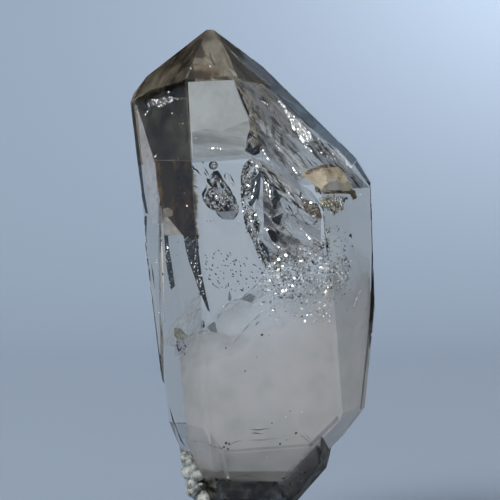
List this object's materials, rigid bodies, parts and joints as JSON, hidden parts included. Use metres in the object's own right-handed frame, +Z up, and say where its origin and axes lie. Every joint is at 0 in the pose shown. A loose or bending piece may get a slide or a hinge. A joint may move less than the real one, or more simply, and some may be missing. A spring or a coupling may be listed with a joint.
{
  "type": "smoky quartz scepter",
  "caption": "Clear to smoky quartz crystal whose wide pointed head overgrows the end of a narrower dark stem, cut flat at the foot to stand upright.",
  "frame": {"origin": "middle of the flat cut at the foot of the stem", "axes": "+Z up towards the crystal's point, +X to the right of the broad clear prism face, which faces -Y"},
  "size_m": [0.0268, 0.0217, 0.0567],
  "materials": {
    "quartz": "clear to smoky brown quartz with glossy natural faces"
  },
  "bodies": {
    "root": {"scepter": "quartz"}
  },
  "joints": []
}
